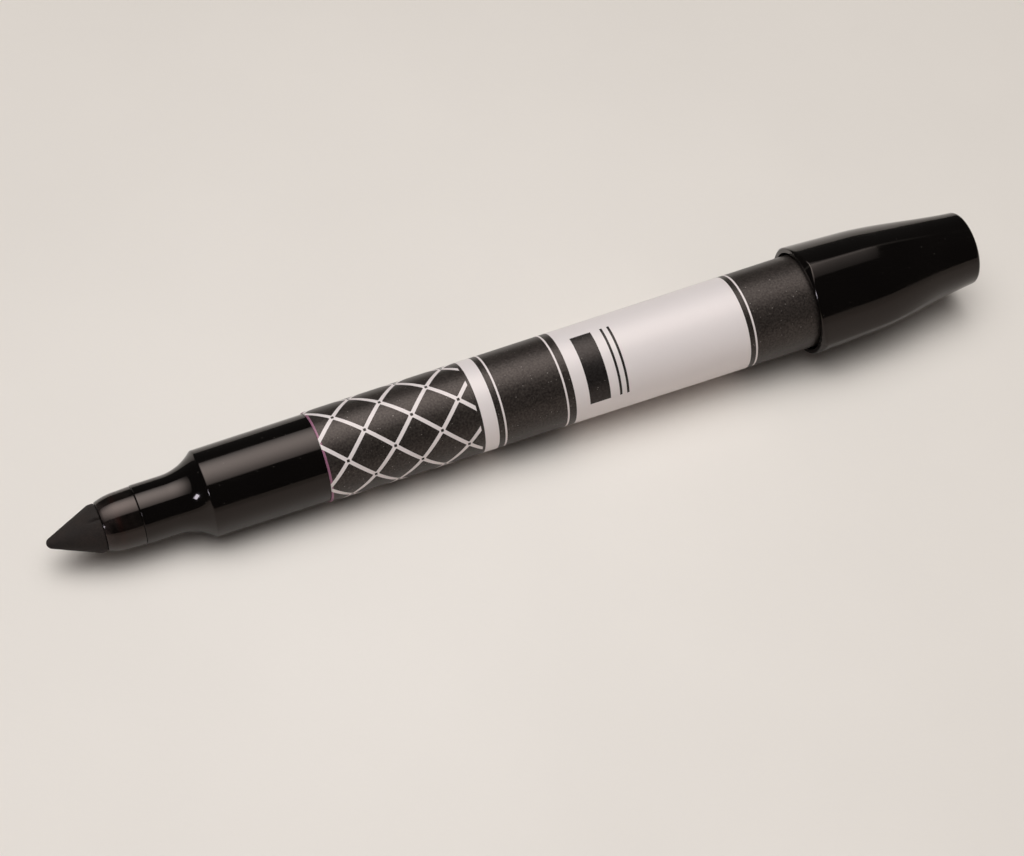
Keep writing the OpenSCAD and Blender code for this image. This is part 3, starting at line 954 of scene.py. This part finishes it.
# %% Shape of the cap
CAP_FACE_R = 9.66
CAP_FACE_SHIFT = 4.0
CAP_CREST_R = 10.4
CAP_GRIP_LEN = 11.0
CAP_GRIP_R = 9.16
CAP_END_R = 6.55
CAP_END_EDGE_R = 0.6
CAP_END_SLOPE = -0.09
CAP_CHAMFER = 0.85
CAP_PITCH = math.pi / 2
CAP_TURN = math.radians(7)
CREST_FADE = (13.0, 26.0)
RIDGE_SOFT = math.radians(1.3)
RIM_SOFT_MM = 0.06
cap_start, cap_stop = span_of("cap_shell")
cap_len = cap_stop - cap_start


def ease(t, start, start_slope, end, end_slope):
    """Cubic from one height and slope to another over a span of 1."""
    return ((2 * t ** 3 - 3 * t ** 2 + 1) * start + (t ** 3 - 2 * t ** 2 + t) * start_slope
            + (3 * t ** 2 - 2 * t ** 3) * end + (t ** 3 - t ** 2) * end_slope)


def face_r(depth):
    """Radius to the middle of a face, at a depth from the mouth."""
    grip_slope = (CAP_GRIP_R - CAP_FACE_R) / CAP_GRIP_LEN
    if depth <= CAP_GRIP_LEN:
        return CAP_FACE_R + grip_slope * depth
    taper = cap_len - CAP_GRIP_LEN
    share = (depth - CAP_GRIP_LEN) / taper
    return ease(share, CAP_GRIP_R, grip_slope * taper, CAP_END_R, CAP_END_SLOPE * taper)


def face_shift(depth):
    """How far a face's centre of curvature lies behind the axis."""
    share = min(1.0, max(0.0, (depth - CREST_FADE[0]) / (CREST_FADE[1] - CREST_FADE[0])))
    return ease(share, CAP_FACE_SHIFT, 0, 0, 0)


def cap_ring(depth, rim_cut=0.0):
    """Radius of the cap's outside at a depth, as a function of the angle; rim_cut is the
    chamfer's bite there."""
    shift = face_shift(depth)
    wide = face_r(depth) + shift
    rolled = max(0.0, depth - cap_len + CAP_END_EDGE_R)
    roll_in = CAP_END_EDGE_R - math.sqrt(max(0.0, CAP_END_EDGE_R ** 2 - rolled ** 2))

    def reach(angle):
        off_ridge = (angle - math.pi - CAP_TURN) % CAP_PITCH
        off_ridge = min(off_ridge, CAP_PITCH - off_ridge)
        off_face = CAP_PITCH / 2 - math.hypot(off_ridge, RIDGE_SOFT)
        section = math.sqrt(wide ** 2 - (shift * math.sin(off_face)) ** 2) - shift * math.cos(off_face)
        limit = CAP_CREST_R - rim_cut
        mean, gap = (section + limit) / 2, (section - limit) / 2
        return mean - math.hypot(gap, RIM_SOFT_MM) - roll_in
    return reach


print("cap is", round(cap_len, 1), "mm long and", round(2 * face_r(0), 2), "mm across at its mouth")

# %% Model the cap
CAP_SIDES = 320
CAP_BORE_R = 8.65
CAP_BORE_DRAFT = 0.2
CAP_LEAD_IN = 0.4
CAP_WALL = 1.15
CAP_END_T = 1.5
LINER_RIM_DEPTH = 6.55
CAVITY_STEPS = 16
RIM_STEPS = 18
GRIP_STEPS = 90
ROLL_STEPS = 10
# The fine rings of the rim reach past the chamfer, and one ring divides the flat end.
RIM_REACH = 1.4 * CAP_CHAMFER
END_RING_R = 0.6 * CAP_END_R


def make_cap():
    inner_end = cap_len - CAP_END_T
    cavity_len = inner_end - CAP_GRIP_LEN
    cavity = [CAP_GRIP_LEN + cavity_len * i / CAVITY_STEPS for i in range(CAVITY_STEPS + 1)]
    inside = [(d, face_r(d) - CAP_WALL) for d in reversed(cavity)]
    bore = [(LINER_RIM_DEPTH + CAP_WALL, CAP_GRIP_R - CAP_WALL),
            (LINER_RIM_DEPTH, CAP_BORE_R - CAP_BORE_DRAFT),
            (CAP_LEAD_IN, CAP_BORE_R), (0, CAP_BORE_R + CAP_LEAD_IN / 2)]
    rim = [RIM_REACH * i / RIM_STEPS for i in range(RIM_STEPS + 1)]
    chamfered = [(d, cap_ring(d, max(0.0, CAP_CHAMFER - d))) for d in rim]
    grip_len = cap_len - CAP_END_EDGE_R - rim[-1]
    grip = [rim[-1] + grip_len * i / GRIP_STEPS for i in range(1, GRIP_STEPS + 1)]
    rolls = [math.sin(math.pi / 2 * i / ROLL_STEPS) for i in range(1, ROLL_STEPS + 1)]
    rolled = [cap_len - CAP_END_EDGE_R * (1 - roll) for roll in rolls]
    outside = [(d, cap_ring(d)) for d in grip + rolled]
    end = [(cap_len, END_RING_R), (cap_len, 0)]
    rings = [(inner_end, 0)] + inside + bore + chamfered + outside + end
    placed = [(cap_start + d, radius) for d, radius in rings]
    return skin("cap_moulding", placed, CAP_SIDES, looped=False)


cap = make_cap()

# %% [markdown]
# ## Worn and lit ridges
# The cap is the barrel's plastic from another tool. Its ridges carry a fine grey line: handling
# has rubbed them, and the same line is a painted highlight where they catch the light. Wear could be
# painted on by hand. Here the angle that shaped the ridges also draws the line, so the two stay
# together when a size is changed.

# %% Finish the cap
# Polypropylene, injection moulded, black: a slightly softer gloss than the barrel's, with a peel
# that shows in the wide flat faces, and a fine grey line on the ridges: rubbed wear and a painted
# highlight.
# Half width and fading of the grey ridge line: rubbed wear and a painted highlight.
WEAR_AND_HIGHLIGHT_HALF_WIDTH_MM = 0.32
WEAR_AND_HIGHLIGHT_FADE = (14.0, 27.0)


def ridge_wear_and_highlight(tree, spot):
    """1 along the four ridges of the cap, for rubbed wear and a painted highlight, 0 beside them and
    where they have sunk away.
    """
    place, turn = axis_coordinates(tree, spot)
    from_ridge = add(tree, "ShaderNodeMath", {0: turn, 1: CAP_TURN}, operation="SUBTRACT")
    off_ridge = add(tree, "ShaderNodeMath", {0: from_ridge, 1: CAP_PITCH / 2}, operation="PINGPONG")
    line = add(tree, "ShaderNodeMapRange",
               {"Value": off_ridge, "From Max": WEAR_AND_HIGHLIGHT_HALF_WIDTH_MM / CAP_FACE_R,
                "To Min": 1.0, "To Max": 0.0})
    left = add(tree, "ShaderNodeMapRange",
               {"Value": place, "From Min": cap_start + WEAR_AND_HIGHLIGHT_FADE[0],
                "From Max": cap_start + WEAR_AND_HIGHLIGHT_FADE[1], "To Min": 1.0, "To Max": 0.0})
    return add(tree, "ShaderNodeMath", {0: line, 1: left}, operation="MULTIPLY")


cap_black = moulded_polypropylene("polypropylene_moulded_black_cap", peel_mm=3.2, peel_strength=0.2,
                                  gloss=(0.06, 0.16), ior=1.42, wear_and_highlight=ridge_wear_and_highlight)
stand_for(cap, "cap_shell", cap_black)

# %% [markdown]
# ## Inner pieces
# With the cap pulled off, the tail plug and the cap's liner show; the ink rod and its film stay
# inside. Finer skins could be made for them as well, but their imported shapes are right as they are,
# so they only get their finishes.

# %% Finish the inner pieces
# The rod's real fibres are about 0.02 mm thick, and are drawn coarse enough to show.
LINER_CLOUD_MM = 4
ROD_FIBRE_MM = 0.3
FILM_CREASE_MM = 6


def mottled(name, colours, feature_mm, roughness, bump_mm):
    """A plain material whose colour and roughness drift between two values over such a feature."""
    material, tree, spot = new_material(name)
    drift = add(tree, "ShaderNodeTexNoise",
                {"Vector": spot, "Scale": per_metre(feature_mm), "Detail": 4.0})
    colour = add(tree, "ShaderNodeMix",
                 {"Factor": drift, "A": linear(colours[0]), "B": linear(colours[1])},
                 data_type="RGBA")
    rough = add(tree, "ShaderNodeMapRange",
                {"Value": drift, "To Min": roughness[0], "To Max": roughness[1]})
    bump = add(tree, "ShaderNodeBump", {"Height": drift, "Strength": 0.3, "Distance": bump_mm * MM})
    shader = add(tree, "ShaderNodeBsdfPrincipled",
                 {"Base Color": colour, "Roughness": rough, "Normal": bump})
    add(tree, "ShaderNodeOutputMaterial", {"Surface": shader})
    return material


INNER_FINISHES = {
    # Black polypropylene, moulded: a duller gloss than that of the barrel it closes.
    "tail_plug": moulded_polypropylene("polypropylene_moulded_black_plug", peel_mm=2.0,
                                       peel_strength=0.25, gloss=(0.1, 0.24)),
    # Low density polyethylene, moulded natural: milky and waxy.
    "cap_liner": mottled("polyethylene_moulded_natural", ("#cfcabf", "#dedad1"), LINER_CLOUD_MM,
                         roughness=(0.38, 0.52), bump_mm=0.02),
    # Polyester fibre, bundled and inked: a matt, broken black.
    "ink_reservoir": mottled("polyester_fibre_inked", ("#0e0c0e", "#2a2629"), ROD_FIBRE_MM,
                             roughness=(0.8, 0.95), bump_mm=0.05),
    # Polypropylene film, wrapped: thin, slightly creased and glossy.
    "reservoir_wrap": mottled("polypropylene_film_wrapped", ("#c9c9ce", "#dfdfe3"), FILM_CREASE_MM,
                              roughness=(0.2, 0.35), bump_mm=0.03),
}
for node_name, finish in INNER_FINISHES.items():
    for held in frame["nodes"][node_name].material_slots:
        held.material = finish
    print(node_name, "is", finish.name)

# %% [markdown]
# ## Check the size and finish
# The finer skins may not grow the object, so the growth of its box over the imported one is printed.

# %% Compare the boxes and finish
visual_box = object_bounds()
cad_size = cad_box[1] - cad_box[0]
visual_size = visual_box[1] - visual_box[0]
print("grown by", [round((b - a) / MM, 4) for a, b in zip(cad_size, visual_size)], "mm")
